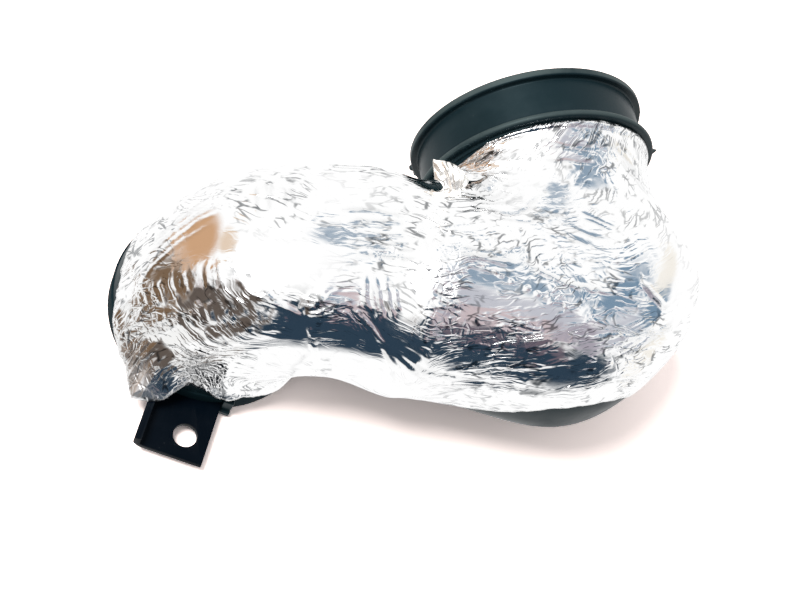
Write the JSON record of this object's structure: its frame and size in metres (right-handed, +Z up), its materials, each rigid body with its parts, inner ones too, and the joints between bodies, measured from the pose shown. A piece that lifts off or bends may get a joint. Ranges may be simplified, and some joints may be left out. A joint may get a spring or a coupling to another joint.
{
  "type": "transmission air intake duct",
  "caption": "Moulded rubber intake pipe of a transmission with a round mouth, a two-lipped collar, a steel bracket and a foil heat shield.",
  "frame": {"origin": "centre of the mouth rim, on the plane the part lies on", "axes": "+Z up along the mouth axis, the mouth opens towards -Z; +Y along the collar axis out of the collar; +X along the tube"},
  "size_m": [0.2216, 0.1244, 0.097],
  "materials": {
    "rubber": "satin",
    "bracket": "satin",
    "foil": "glossy"
  },
  "bodies": {
    "root": {"duct": "rubber", "bracket": "bracket", "heat_shield": "foil"}
  },
  "joints": []
}
